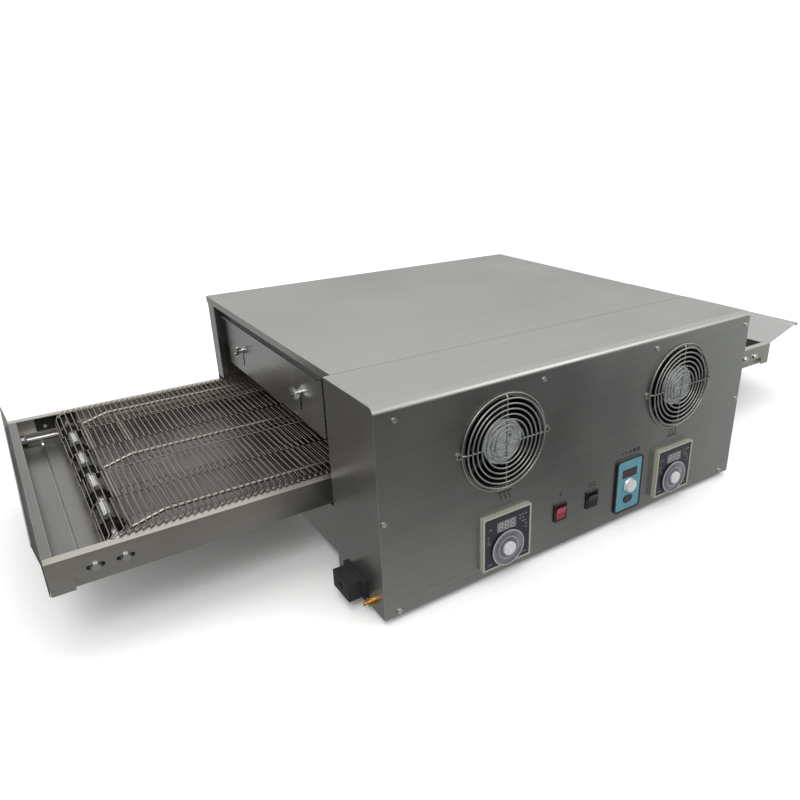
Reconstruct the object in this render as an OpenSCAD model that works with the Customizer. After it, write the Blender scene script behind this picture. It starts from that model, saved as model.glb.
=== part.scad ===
// Countertop conveyor pizza oven.
// The working frame has its zero at the lower left corner of the front sheet:
// X runs along the belt, Y runs back from the front sheet, Z runs up.
// placed() moves everything so that zero is under the middle of the bounding box, on the table.

/* [Control box] */
// Width of the control box
box_w = 808; // [800:1:816]
// Depth of the control box
box_d = 150; // [148:1:152]
// Height of the control box
box_h = 337; // [334:1:340]
// Outside radius of the bend along the top front edge
bend_r = 12; // [8:1:14]

/* [Oven body] */
// Front sheet to the back of the body
body_d = 767; // [767:1:770]
// How far the body's left side sits in from the control box's left side
left_step = 14; // [10:1:16]
// Underside of the body above the control box's lower edge
body_z = 12; // [10:1:14]
// Top of the main cover
cover_top = 335.5; // [335.2:0.1:336]
// How deep each end plate sits inside the side of the body
end_recess = 20; // [19:1:22]
// Height of the rubber feet
foot_h = 22; // [20:1:26]

/* [Conveyor] */
// Length over the rails
rail_l = 1604; // [1590:2:1620]
// Front sheet to the outer face of the front rail
rail_y = 186; // [186:1:187]
// Width over both rails
rails_w = 572; // [571:1:573]
// Top of the rails
rail_top = 152; // [151:1:153]
// Full depth of a rail
rail_h = 50; // [50:1:51]
// Width of the wire belt
belt_w = 508; // [500:1:510]
// Top surface of the belt
belt_top = 155; // [154.5:0.1:155.5]
// Distance between two belt wires
belt_pitch = 10; // [10:0.1:10.2]
// Teeth on a belt sprocket
belt_teeth = 12; // [12:1:12]
// Idler shaft to the end of the rails
idler_in = 94; // [93:1:96]
// Drive shaft from the right side of the body
drive_in = 53; // [50:1:56]

/* [Gates] */
// Width of an end gate
gate_w = 480; // [470:1:484]
// Lower edge of a closed gate
gate_low = 199; // [190:1:204]
// Height of a gate
gate_h = 103; // [98:1:103]
// Travel of a gate
gate_travel = 30; // [20:1:30]
// Distance between the two studs of a gate
stud_gap = 290; // [260:1:320]

/* [Ends] */
// Height of the upright lip at the left end
lip_h = 35; // [25:1:45]
// Reach of the sloping shelf at the right end
shelf_out = 112; // [90:1:130]
// Rise of the sloping shelf
shelf_rise = 34; // [20:1:45]
// How far a crumb tray reaches in past the end of the rails
tray_l = 412; // [380:1:420]

/* [Fans] */
// Left fan centre from the left side
fan_left = 217; // [212:1:222]
// Right fan centre from the left side
fan_right = 617; // [612:1:622]
// Height of the fan centres
fan_z = 230; // [226:1:234]
// Radius of the guard's outer ring
guard_r = 78.7; // [78:0.1:79]

/* [Controls] */
// Side of the square temperature controllers
meter = 96; // [96:1:97]
// Height of the controls' centres
control_z = 66; // [66:1:68]
// Centre of the red switch
red_x = 339; // [336:1:342]
// Centre of the black switch
black_x = 413; // [410:1:416]
// Centre of the belt speed controller
speed_x = 504; // [502:1:506]

/* [Hidden] */
$fn = 48;
sheet = 1.5;
cover_sheet = 1.2;
foot_drop = foot_h - body_z;

body_x0 = left_step;
body_x1 = box_w;
body_w = body_x1 - body_x0;
body_mid = (body_x0 + body_x1) / 2;
back_y = box_d + 0.2;
rear_in = body_d - cover_sheet - 0.1 - sheet;
liner_y0 = 180;
liner_y1 = 761.2;
liner_top = 263.2;
liner_sheet = 1.2;

belt_mid = rail_y + rails_w / 2;
rail_x0 = body_mid - rail_l / 2;
rail_low = rail_top - rail_h;
web_low = rail_top - 32;
web_in = 7.5;
belt_t = 1.6;
pitch_r = belt_pitch / (2 * sin(180 / belt_teeth));
shaft_z = belt_top - belt_t / 2 - pitch_r;
shaft_r = 6;
running = 0.05;
idler_x = rail_x0 + idler_in;
drive_x = body_x1 - drive_in;
sprocket_r = pitch_r - belt_t / 2 - 0.4;
idler_offsets = [-200, -100, 0, 100, 200];
drive_offsets = [-150, -50, 50, 150];
bearing_in = 1.8;

end_x = body_x0 + end_recess;
gate_x = end_x - 2.5;
gate_y = belt_mid - gate_w / 2;
stud_r = 3;
stud_z = gate_low + 51;
stud_len = 18;
slot_r = stud_r + 0.3;
mouth_top = 232;
nut_angles = [28, -48];

lean = 5;
tray_z = rail_low + 1.8;
front_y0 = rail_y + 1;
front_y1 = rail_y + rails_w - 1;
slot_z = rail_low + 27;
bolt_xs = [rail_x0 + 58, rail_x0 + 96];
slot_len = 24;
rod_y = 22;
rod_z = rail_low + 12;

fan_xs = [fan_left, fan_right];
fan_hole_r = 73;
ear_x = 84;
wire_r = 1.3;
dial_drop = 16;
dial_r = 31.8;
meter_out = 9;
meter_shift = 3;
meter_z = control_z - 1.5;
knob_out = 17;
meter_body = 90;
speed_w = 66;
speed_h = 106;
speed_out = 3.5;
speed_back = [58, 98];
switch_w = 28;
switch_h = 33;
switch_back = [26, 29];
run_z = control_z - 29;

motor_z = 233;
chain_y = 136;
chain_r = 22.4;
heater_r = 4.5;
upper_z = 238;
upper_xs = [for (i = [0:5]) 121 + i * 116];
lower_xs = [for (i = [0:6]) 90 + i * 100];
heater_y0 = 130;

gland_y = 88;
gland_z = 22;
gland_out = 27;
earth_y = 35;
earth_z = 16;

top_screws = [31, 293, 549, 798];
low_screws = [25, 782];
side_screws = [7, box_w - 7];

left_most = rail_x0 - 0.4 - sheet - lean;
right_most = rail_x0 + rail_l + shelf_out;
mid_x = (left_most + right_most) / 2;
mid_y = (body_d - knob_out) / 2;

steel = [0.66, 0.66, 0.65];
dark_steel = [0.42, 0.42, 0.41];
black = [0.06, 0.06, 0.065];
bezel = [0.56, 0.56, 0.5];
brass = [0.72, 0.55, 0.25];

// ---------- helpers ----------

// Moves the working frame to the part's own frame.
module placed() {
    translate([-mid_x, -mid_y, foot_drop]) children();
}

// A flat outline in X and Z, from y - t to y.
module facing(y, t) {
    translate([0, y, 0]) rotate([90, 0, 0]) linear_extrude(t) children();
}

// A flat outline in Y and Z, from x to x + t.
module siding(x, t) {
    translate([x, 0, 0]) rotate([90, 0, 90]) linear_extrude(t) children();
}

// The same piece at the right end of the conveyor.
module at_right() {
    translate([2 * body_mid, 0, 0]) mirror([1, 0, 0]) children();
}

// The same piece on the rear side of the conveyor.
module at_rear() {
    translate([0, 2 * belt_mid, 0]) mirror([0, 1, 0]) children();
}

// The same piece at all four corners of the conveyor.
module at_corners() {
    children();
    at_right() children();
    at_rear() children();
    at_right() at_rear() children();
}

// A round bar along X, along Y, or a pin pointing to the front.
module bar_x(x0, x1, y, z, r) {
    translate([x0, y, z]) rotate([0, 90, 0]) cylinder(h = x1 - x0, r = r);
}
module bar_y(x, y0, y1, z, r) {
    translate([x, y0, z]) rotate([-90, 0, 0]) cylinder(h = y1 - y0, r = r);
}

// A tube along Y.
module tube_y(x, y0, y1, z, r, bore) {
    difference() {
        bar_y(x, y0, y1, z, r);
        bar_y(x, y0 - 1, y1 + 1, z, bore);
    }
}

// A rectangle with round corners.
module rounded(w, h, r) {
    square([w - 2 * r, h], center = true);
    square([w, h - 2 * r], center = true);
    for (x = [-1, 1], y = [-1, 1])
        translate([x * (w / 2 - r), y * (h / 2 - r)]) circle(r);
}

// A slot that runs along the first axis.
module slot(l, r) {
    square([l - 2 * r, 2 * r], center = true);
    for (s = [-1, 1]) translate([s * (l / 2 - r), 0]) circle(r);
}

// ---------- control box ----------

module quarter_bend(r, t) {
    intersection() {
        difference() {
            circle(r);
            circle(r - t);
        }
        translate([-r, 0]) square(r);
    }
}

module screw_places() {
    for (x = top_screws) translate([x, 0, box_h - 24]) children();
    for (x = low_screws) translate([x, 0, 7]) children();
    for (x = side_screws) translate([x, 0, 162]) children();
}

module front_cover() placed() color(steel) difference() {
    siding(0, box_w) {
        square([sheet, box_h - bend_r]);
        translate([bend_r, box_h - sheet]) square([box_d - bend_r, sheet]);
        translate([bend_r, box_h - bend_r]) quarter_bend(bend_r, sheet);
    }
    for (x = fan_xs) {
        bar_y(x, -1, 3, fan_z, fan_hole_r);
        for (s = [-1, 1]) bar_y(x + s * ear_x, -1, 3, fan_z, 2.2);
        translate([x + meter_shift, 3, meter_z]) rotate([90, 0, 0])
            linear_extrude(4) square(meter_body + 1, center = true);
    }
    for (x = [red_x, black_x]) translate([x, 3, control_z]) rotate([90, 0, 0])
        linear_extrude(4) square([switch_back[0] + 0.6, switch_back[1] + 0.6], center = true);
    translate([speed_x, 3, control_z]) rotate([90, 0, 0])
        linear_extrude(4) square([speed_back[0] + 1, speed_back[1] + 1], center = true);
    screw_places() bar_y(0, -1, 3, 0, 2.1);
}

module chassis_side() {
    translate([sheet, 0]) square([box_d - sheet, box_h - bend_r]);
    translate([bend_r, 0]) square([box_d - bend_r, box_h - sheet]);
    translate([bend_r, box_h - bend_r]) circle(bend_r - sheet);
}

module control_chassis() placed() color(steel) difference() {
    union() {
        for (x = [0, box_w - sheet]) siding(x, sheet) chassis_side();
        translate([0, sheet, 0]) cube([box_w, box_d - sheet, sheet]);
    }
    bar_x(-1, 3, gland_y, gland_z, 8.2);
    bar_x(-1, 3, earth_y, earth_z, 3.1);
}

module bulkhead() placed() color(dark_steel) difference() {
    facing(box_d - 0.1, sheet) translate([1.6, 1.6]) square([box_w - 3.2, box_h - 3.2]);
    bar_y(drive_x, box_d - 3, box_d + 1, shaft_z, 8);
    heater_places() bar_y(0, box_d - 3, box_d + 1, 0, heater_r + 1);
}

module panel_screws() placed() color(steel) screw_places() difference() {
    union() {
        bar_y(0, -1.8, 0, 0, 4.2);
        bar_y(0, 0, 8, 0, 2);
    }
    for (a = [0, 90]) rotate([0, a, 0]) translate([-2.2, -2.5, -0.5]) cube([4.4, 1.8, 1]);
}

// ---------- body ----------

module top_cover() placed() color(steel) {
    y0 = box_d + 0.8;
    translate([body_x0, y0, cover_top - cover_sheet]) cube([body_w, body_d - y0, cover_sheet]);
    for (x = [body_x0, body_x1 - cover_sheet])
        translate([x, y0, cover_top - 13.5]) cube([cover_sheet, body_d - y0, 13.5]);
    translate([body_x0, body_d - cover_sheet, cover_top - 13.5]) cube([body_w, cover_sheet, 13.5]);
}

module rear_column() {
    translate([body_x0 + cover_sheet + 0.2, rear_in - 36, rail_top + 8])
        cube([sheet, 36, cover_top - rail_top - 10]);
}

module rear_panel() placed() color(steel) {
    inset = cover_sheet + 0.2;
    translate([body_x0 + inset, rear_in, body_z])
        cube([body_w - 2 * inset, sheet, cover_top - cover_sheet - 0.1 - body_z]);
    rear_column();
    at_right() rear_column();
}

module pan_side() {
    translate([body_x0, body_z]) square([sheet, rail_low - 2 - body_z]);
    translate([body_x0, rail_low - 2 - sheet]) square([end_recess - 0.2, sheet]);
}

module base_pan() placed() color(steel) facing(rear_in - 0.1, rear_in - 0.1 - back_y) {
    translate([body_x0, body_z]) square([body_w, sheet]);
    pan_side();
    translate([2 * body_mid, 0]) mirror([1, 0]) pan_side();
}

module feet() placed() color(black)
    for (x = [body_x0 + 60, body_x1 - 60], y = [210, body_d - 60])
        translate([x, y, -foot_drop]) {
            cylinder(h = 6, r = 22);
            cylinder(h = foot_h, r = 18);
        }

// ---------- ends ----------

module end_plate() {
    siding(end_x, sheet) difference() {
        translate([back_y, body_z + sheet + 0.1])
            square([rear_in - 0.1 - back_y, cover_top - cover_sheet - 0.2 - body_z - sheet]);
        translate([rail_y - 2, rail_low - 1.4]) square([rails_w + 4, mouth_top - rail_low + 1.4]);
    }
    for (s = [-1, 1]) bar_x(end_x - stud_len, end_x, belt_mid + s * stud_gap / 2, stud_z, stud_r);
}

module left_end_plate() placed() color(dark_steel) end_plate();
module right_end_plate() placed() color(dark_steel) at_right() end_plate();

module gate() {
    siding(gate_x, sheet) difference() {
        translate([gate_y, gate_low]) square([gate_w, gate_h]);
        for (s = [-1, 1])
            translate([belt_mid + s * stud_gap / 2, stud_z - gate_travel / 2]) rotate(90)
                slot(gate_travel + 2 * slot_r, slot_r);
    }
    translate([gate_x - 8, gate_y, gate_low + gate_h - sheet]) cube([8 + sheet, gate_w, sheet]);
}

module left_gate() placed() color(steel) gate();
module right_gate() placed() color(steel) at_right() gate();

// A wing nut on one stud: side is -1 at the front and 1 at the rear.
module wing_nut(side) {
    angle = nut_angles[(side + 1) / 2];
    seat = gate_x - 0.3;
    translate([0, belt_mid + side * stud_gap / 2, stud_z]) difference() {
        union() {
            bar_x(seat - 9, seat, 0, 0, 5.2);
            bar_x(seat - 1.2, seat, 0, 0, 7.5);
            rotate([angle, 0, 0]) translate([seat - 8, 0, 0]) linear_extrude(2.6, center = true)
                for (s = [-1, 1]) {
                    translate([-2.5, s * 10]) circle(4.6);
                    translate([-4, min(0, s * 10)]) square([7.5, 10]);
                }
        }
        bar_x(seat - 16, seat + 1, 0, 0, stud_r + running);
    }
}

module wing_nut_left_front() placed() color(steel) wing_nut(-1);
module wing_nut_left_rear() placed() color(steel) wing_nut(1);
module wing_nut_right_front() placed() color(steel) at_right() wing_nut(-1);
module wing_nut_right_rear() placed() color(steel) at_right() wing_nut(1);

// ---------- baking chamber ----------

module heater_places() {
    for (x = upper_xs) translate([x, 0, upper_z]) children();
    for (x = lower_xs) translate([x, 0, shaft_z]) children();
}

module chamber_liner() placed() color(dark_steel) difference() {
    siding(end_x + sheet + 0.4, body_w - 2 * (end_recess + sheet + 0.4)) {
        translate([liner_y0, liner_top - liner_sheet]) square([liner_y1 - liner_y0, liner_sheet]);
        for (y = [liner_y0, liner_y1 - liner_sheet])
            translate([y, rail_low - 2]) square([liner_sheet, liner_top - rail_low + 2]);
    }
    bar_y(drive_x, liner_y0 - 1, liner_y0 + 3, shaft_z, 8);
    heater_places() bar_y(0, liner_y0 - 1, liner_y0 + 3, 0, heater_r + 0.5);
}

module chamber_floor() placed() color(dark_steel)
    translate([end_x + sheet + 0.4, liner_y0, rail_low - 5])
        cube([body_w - 2 * (end_recess + sheet + 0.4), liner_y1 - liner_y0, liner_sheet]);

module insulation() placed() color([0.86, 0.84, 0.78]) {
    x0 = end_x + sheet + 0.5;
    l = body_w - 2 * (end_recess + sheet + 0.5);
    low_h = rail_low - 5.5 - body_z - sheet - 0.5;
    translate([x0, back_y + 1, liner_top + 0.4])
        cube([l, liner_y1 - back_y - 1, cover_top - liner_top - 2.5]);
    translate([x0, back_y + 1, body_z + sheet + 0.4]) cube([l, liner_y1 - back_y - 1, low_h]);
    difference() {
        translate([x0, back_y + 1, rail_low - 5])
            cube([l, liner_y0 - back_y - 1.5, liner_top - rail_low + 5]);
        bar_y(drive_x, back_y, liner_y0, shaft_z, 9);
        heater_places() bar_y(0, back_y, liner_y0, 0, heater_r + 0.5);
    }
}

module heater(x, z, y1) {
    bar_y(x, heater_y0 + 10, y1, z, heater_r);
    bar_y(x, heater_y0, heater_y0 + 10.5, z, 2);
}

module upper_heaters() placed() color([0.35, 0.3, 0.27])
    for (x = upper_xs) heater(x, upper_z, liner_y1 - liner_sheet - 0.2);

module lower_heaters() placed() color([0.35, 0.3, 0.27])
    for (x = lower_xs) heater(x, shaft_z, rail_y + rails_w - sheet - 0.2);

// ---------- conveyor frame ----------

// A rail's section: web, top flange, step and foot, with the outer face at zero.
module rail_section() {
    translate([0, web_low]) square([sheet, rail_top - web_low]);
    translate([0, rail_top - sheet]) square([16, sheet]);
    translate([0, web_low]) square([web_in + sheet, sheet]);
    translate([web_in, rail_low]) square([sheet, web_low - rail_low + sheet]);
    translate([web_in, rail_low]) square([16, sheet]);
}

module rail_end() {
    translate([rail_x0, 0, rail_low]) cube([30, sheet, web_low - rail_low + 0.5]);
    translate([rail_x0 + 18.5, 0, 0]) difference() {
        translate([0, web_in + sheet - 0.5, rod_z - 5]) cube([3, 18.5, 12]);
        bar_x(-1, 4, rod_y, rod_z, 4.1);
    }
}

module rail(holes) translate([0, rail_y, 0]) difference() {
    union() {
        siding(rail_x0, rail_l) rail_section();
        rail_end();
        at_right() rail_end();
    }
    for (x = bolt_xs) {
        facing(3, 4) translate([x, slot_z]) slot(slot_len, 3.5);
        at_right() facing(3, 4) translate([x, slot_z]) slot(slot_len, 3.5);
    }
    if (holes) {
        bar_y(drive_x, -1, 3, shaft_z, 8);
        for (x = lower_xs) bar_y(x, -1, 3, shaft_z, heater_r + 0.5);
    }
}

module front_rail() placed() color(steel) rail(true);
module rear_rail() placed() color(steel) at_rear() rail(false);

// A take-up bearing at the front left corner: plate, boss and the lug for the tension rod.
module take_up_bearing() translate([0, rail_y, 0]) difference() {
    union() {
        translate([rail_x0 + 42, bearing_in, web_low + sheet + 0.5])
            cube([71, 3, rail_top - web_low - 2 * sheet - 1]);
        bar_y(idler_x, bearing_in, 27, shaft_z, 11);
        translate([idler_x - 6, 14, rod_z - 5]) cube([12, 13, shaft_z - rod_z]);
    }
    bar_y(idler_x, 0, 28, shaft_z, shaft_r + running);
    bar_x(idler_x - 20, idler_x, rod_y, rod_z, 4.05);
    for (x = bolt_xs) bar_y(x, 0, 6, slot_z, 3.05);
}

module drive_bearing() translate([0, rail_y, 0]) difference() {
    union() {
        translate([drive_x - 22, bearing_in, shaft_z - 12]) cube([44, 3, 26]);
        bar_y(drive_x, bearing_in, 13, shaft_z, 11);
    }
    bar_y(drive_x, 0, 14, shaft_z, shaft_r + running);
}

module shaft_bearings() placed() color(black) {
    at_corners() take_up_bearing();
    drive_bearing();
    at_rear() drive_bearing();
}

module corner_bolts() translate([0, rail_y, 0]) {
    for (x = bolt_xs) {
        bar_y(x, -1, 0, slot_z, 6.5);
        bar_y(x, -1, bearing_in + 3, slot_z, 3);
        translate([x, -0.9, slot_z]) rotate([90, 0, 0]) cylinder(h = 3.8, r = 5.6, $fn = 6);
    }
    bar_x(rail_x0 + 14, idler_x - 1, rod_y, rod_z, 4);
    translate([rail_x0 + 12.5, rod_y, rod_z]) rotate([0, 90, 0]) cylinder(h = 5.8, r = 7, $fn = 6);
}

module take_up_bolts() placed() color(dark_steel) at_corners() corner_bolts();

// A straight rod between two points, with ball ends.
module rod(a, b, r) {
    d = b - a;
    translate(a) rotate([0, atan2(norm([d[0], d[1]]), d[2]), atan2(d[1], d[0])]) cylinder(h = norm(d), r = r);
    for (p = [a, b]) translate(p) sphere(r + 0.05);
}

// Three long rods that bend down at both ends, where a rod across joins them.
module belt_rack() placed() color(steel) {
    rod_r = 3;
    half = 226;
    long_z = belt_top - belt_t - 0.5 - rod_r;
    cross_z = long_z - 5;
    end_z = long_z - 13;
    x0 = idler_x + sprocket_r + 4.5;
    bend_x = x0 + 48;
    stay_x = bend_x + 11;
    for (y = [belt_mid - half, belt_mid, belt_mid + half]) {
        bar_x(bend_x, 2 * body_mid - bend_x, y, long_z, rod_r);
        rod([bend_x, y, long_z], [x0, y, end_z], rod_r);
        at_right() rod([bend_x, y, long_z], [x0, y, end_z], rod_r);
    }
    for (x = [x0, 2 * body_mid - x0]) bar_y(x, belt_mid - half, belt_mid + half, end_z, rod_r);
    for (x = [stay_x, 2 * body_mid - stay_x])
        bar_y(x, belt_mid, rail_y + rails_w - sheet - 0.1, cross_z, rod_r);
    for (i = [-1, 0, 1])
        bar_y(body_mid + i * 228, rail_y + sheet + 0.1, rail_y + rails_w - sheet - 0.1, cross_z, rod_r);
}

// ---------- belt and its shafts ----------

module loop_outline(r) {
    x1 = 2 * body_mid - idler_x;
    for (x = [idler_x, x1]) translate([x, shaft_z]) circle(r);
    translate([idler_x, shaft_z - r]) square([x1 - idler_x, 2 * r]);
}

module conveyor_belt() placed() color([0.6, 0.6, 0.58])
    facing(belt_mid + belt_w / 2, belt_w) difference() {
        loop_outline(pitch_r + belt_t / 2);
        loop_outline(pitch_r - belt_t / 2);
    }

module belt_sprocket(x, y) {
    difference() {
        union() {
            translate([x, y + 7, shaft_z]) rotate([90, 0, 0]) linear_extrude(14) difference() {
                circle(sprocket_r);
                for (i = [1:belt_teeth])
                    rotate((i + 0.5) * 360 / belt_teeth) translate([pitch_r - 0.6, 0]) circle(2.4);
            }
            bar_y(x, y - 12, y + 12, shaft_z, 12);
        }
        bar_y(x, y - 14, y + 14, shaft_z, shaft_r + running);
    }
}

// Spacer sleeves between the sprockets of one shaft.
module sleeves(x, offsets) {
    for (i = [0:len(offsets) - 2])
        tube_y(x, belt_mid + offsets[i] + 12.5, belt_mid + offsets[i + 1] - 12.5, shaft_z, 9,
            shaft_r + running);
}

module idler_shaft() {
    bar_y(idler_x, rail_y + bearing_in + 4, rail_y + rails_w - bearing_in - 4, shaft_z, shaft_r);
    sleeves(idler_x, idler_offsets);
}

module left_idler_shaft() placed() color(steel) idler_shaft();
module right_idler_shaft() placed() color(steel) at_right() idler_shaft();
module left_idler_sprockets() placed() color(black)
    for (o = idler_offsets) belt_sprocket(idler_x, belt_mid + o);
module right_idler_sprockets() placed() color(black) at_right()
    for (o = idler_offsets) belt_sprocket(idler_x, belt_mid + o);

module drive_shaft() placed() color(steel) {
    bar_y(drive_x, 129, rail_y + rails_w - 3, shaft_z, shaft_r);
    sleeves(drive_x, drive_offsets);
}
module drive_sprockets() placed() color(black)
    for (o = drive_offsets) belt_sprocket(drive_x, belt_mid + o);

// ---------- crumb trays ----------

// The end wall of a tray: wall, inner flange, bottom flange and a lip from (0, top) to tip.
module tray_front(tip) {
    x = rail_x0 - 0.4;
    module part(y0, y1) facing(y1, y1 - y0) children();
    part(front_y0, front_y1) {
        translate([x - sheet, tray_z]) square([sheet, rail_top - tray_z]);
        polygon([[x - sheet, rail_top], [x, rail_top], [x + tip[0], rail_top + tip[1]],
                 [x - sheet + tip[0], rail_top + tip[1]]]);
    }
    part(rail_y + 17, rail_y + rails_w - 17)
        translate([x - sheet, rail_top - sheet]) square([14, sheet]);
    part(rail_y + 10.5, rail_y + rails_w - 10.5)
        translate([x - sheet, tray_z]) square([46, 1.2]);
}

// The exit shelf's rolled lower edge.
module shelf_hem(tip) {
    x = rail_x0 - 0.4 + tip[0];
    facing(front_y1, front_y1 - front_y0)
        translate([x - sheet, rail_top + tip[1] - 7]) square([sheet, 7]);
}

// A crumb tray with turned-up sides. Its outer edge is stepped down to pass under the end wall's flange.
module crumb_tray() {
    joggle = 6;
    y0 = rail_y + 10.5;
    y1 = rail_y + rails_w - 10.5;
    x0 = rail_x0 + 47.5;
    translate([x0, y0, tray_z]) cube([tray_l - 47.5, y1 - y0, 1.2]);
    for (y = [y0, y1 - 1.2]) translate([x0, y, tray_z]) cube([tray_l - 47.5, 1.2, 3.2]);
    translate([x0, y0 + 16, tray_z - joggle]) cube([1.2, y1 - y0 - 32, joggle + 0.5]);
    translate([x0 - 22, y0 + 16, tray_z - joggle]) cube([23, y1 - y0 - 32, 1.2]);
}

module left_tray_front() placed() color(steel) tray_front([-lean, lip_h]);
module left_crumb_tray() placed() color(steel) crumb_tray();
module exit_shelf() placed() color(steel) at_right() {
    tray_front([sheet + 0.4 - shelf_out, shelf_rise]);
    shelf_hem([sheet + 0.4 - shelf_out, shelf_rise]);
}
module right_crumb_tray() placed() color(steel) at_right() crumb_tray();

// ---------- drive ----------

module gear_motor() placed() color([0.3, 0.31, 0.32]) difference() {
    union() {
        translate([drive_x - 40, 96, motor_z - 40]) cube([80, 30, 80]);
        bar_y(drive_x, 22, 96, motor_z, 37);
        bar_y(drive_x, 124, 129, motor_z, 14);
        translate([drive_x - 40, 80, motor_z - 72]) cube([80, 3, 44]);
        for (x = [drive_x - 40, drive_x + 37]) translate([x, 80, motor_z - 72]) cube([3, 20, 40]);
    }
    bar_y(drive_x, 108, 130, motor_z, 5 + running);
}

module chain_sprocket(z, bore) difference() {
    translate([drive_x, chain_y + 2, z]) rotate([90, 0, 0]) linear_extrude(4) difference() {
        circle(chain_r - 0.4);
        for (i = [1:15]) rotate(i * 24) translate([chain_r, 0]) circle(2.3);
    }
    bar_y(drive_x, chain_y - 5, chain_y + 5, z, bore);
}

module motor_sprocket() placed() color(dark_steel) {
    chain_sprocket(motor_z, 4);
    bar_y(drive_x, 110, chain_y + 3, motor_z, 5);
}

module driven_sprocket() placed() color(dark_steel) chain_sprocket(shaft_z, shaft_r + running);

module chain_outline(r) {
    for (z = [shaft_z, motor_z]) translate([drive_x, z]) circle(r);
    translate([drive_x - r, shaft_z]) square([2 * r, motor_z - shaft_z]);
}

module drive_chain() placed() color(dark_steel) facing(chain_y + 1.5, 3) difference() {
    chain_outline(chain_r + 4);
    chain_outline(chain_r);
}

// ---------- fans ----------

module fan_frame(x) {
    difference() {
        union() {
            translate([x, 6, fan_z]) rotate([90, 0, 0]) linear_extrude(4) rounded(172, 150, 12);
            bar_y(x, 5, 52, fan_z, 75);
        }
        bar_y(x, 1, 53, fan_z, 72);
        for (s = [-1, 1]) bar_y(x + s * ear_x, 1, 7, fan_z, 2.2);
    }
    difference() {
        union() {
            bar_y(x, 4, 26, fan_z, 38);
            for (a = [30, 150, 270])
                translate([x, 4, fan_z]) rotate([0, a, 0]) translate([30, 0, -4]) cube([43, 4, 8]);
        }
        bar_y(x, 12, 27, fan_z, 3 + running);
    }
}

module fan_rotor(x) {
    bar_y(x, 14, 30, fan_z, 3);
    bar_y(x, 27, 48, fan_z, 37);
    for (a = [0:72:288])
        translate([x, 38, fan_z]) rotate([0, a, 0]) rotate([-32, 0, 0])
            translate([34, -1.2, -15]) cube([34, 2.4, 30]);
}

module guard_ring(y, r) {
    translate([0, y, 0]) rotate([90, 0, 0]) rotate_extrude() translate([r, 0]) circle(wire_r);
}

// A finger guard: one outer ring near the sheet, five raised rings, four ribs and two eyes.
module fan_guard(x) translate([x, 0, fan_z]) {
    rib_r = wire_r - 0.1;
    drop = [5, 4.2];
    guard_ring(-2.2, guard_r);
    for (i = [0:6]) guard_ring(-8, 72.5 - i * 8.3);
    for (a = [0, 90, 180, 270]) rotate([0, a, 0]) {
        bar_x(0, 74, -6.4, 0, rib_r);
        translate([73.6, -6.4, 0]) rotate([0, 0, atan2(drop[1], drop[0])])
            bar_x(0, norm(drop) - 0.3, 0, 0, rib_r - 0.05);
    }
    bar_y(0, -7.4, -5, 0, 4);
    for (s = [-1, 1]) difference() {
        bar_y(s * ear_x, -2.7, -0.1, 0, 5.6);
        bar_y(s * ear_x, -4, 1, 0, 2.2);
    }
}

module fan_frame_left() placed() color(black) fan_frame(fan_left);
module fan_frame_right() placed() color(black) fan_frame(fan_right);
module fan_rotor_left() placed() color(black) fan_rotor(fan_left);
module fan_rotor_right() placed() color(black) fan_rotor(fan_right);
module fan_guard_left() placed() color(steel) fan_guard(fan_left);
module fan_guard_right() placed() color(steel) fan_guard(fan_right);

// ---------- controls ----------

// What is cut off to slope the four sides of a temperature controller's frame.
module heat_controller(x) difference() {
    union() {
        translate([x, 0, meter_z]) rotate([90, 0, 0])
            linear_extrude(meter_out) rounded(meter, meter, 2);
        translate([x, 75, meter_z]) rotate([90, 0, 0])
            linear_extrude(75.5) square(meter_body, center = true);
    }
    translate([x, -meter_out + 1.2, meter_z]) rotate([90, 0, 0])
        linear_extrude(3) rounded(meter - 6, meter - 6, 1.5);
    translate([x, -meter_out + 2, meter_z + 25]) rotate([90, 0, 0])
        linear_extrude(3) square([36, 18], center = true);
    bar_y(x, -meter_out - 1, 8, meter_z - dial_drop, 3 + running);
}

module heat_dial(x) {
    z = meter_z - dial_drop;
    bar_y(x, -10.8, 6, z, 3);
    bar_y(x, -10.8, -meter_out + 0.9, z, 8);
    bar_y(x, -12, -10.6, z, dial_r);
    bar_y(x, -knob_out, -11.9, z, 11.5);
}

module upper_heat_controller() placed() color(bezel) heat_controller(fan_left + meter_shift);
module lower_heat_controller() placed() color(bezel) heat_controller(fan_right + meter_shift);
module upper_heat_dial() placed() color([0.5, 0.5, 0.52]) heat_dial(fan_left + meter_shift);
module lower_heat_dial() placed() color([0.5, 0.5, 0.52]) heat_dial(fan_right + meter_shift);

module speed_controller() placed() color([0.37, 0.62, 0.68]) difference() {
    union() {
        translate([speed_x, 0, control_z]) rotate([90, 0, 0])
            linear_extrude(speed_out) rounded(speed_w, speed_h, 7);
        translate([speed_x, 80, control_z]) rotate([90, 0, 0])
            linear_extrude(80.5) square(speed_back, center = true);
    }
    translate([speed_x, -speed_out + 0.8, control_z]) rotate([90, 0, 0])
        linear_extrude(2) rounded(speed_w - 6, speed_h - 6, 5);
    translate([speed_x, -speed_out + 1.4, control_z + 28]) rotate([90, 0, 0])
        linear_extrude(3) square([38, 18], center = true);
    bar_y(speed_x, -5, 10, control_z, 3 + running);
    translate([speed_x, 8, run_z]) rotate([90, 0, 0]) linear_extrude(12) slot(25.6, 7.8);
    translate([speed_x, 2, run_z - 10]) cylinder(h = 20, r = 1 + running);
}

module speed_knob() placed() color([0.7, 0.7, 0.7]) {
    bar_y(speed_x, -5, 8, control_z, 3);
    bar_y(speed_x, -11, -3.2, control_z, 12);
}

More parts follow.
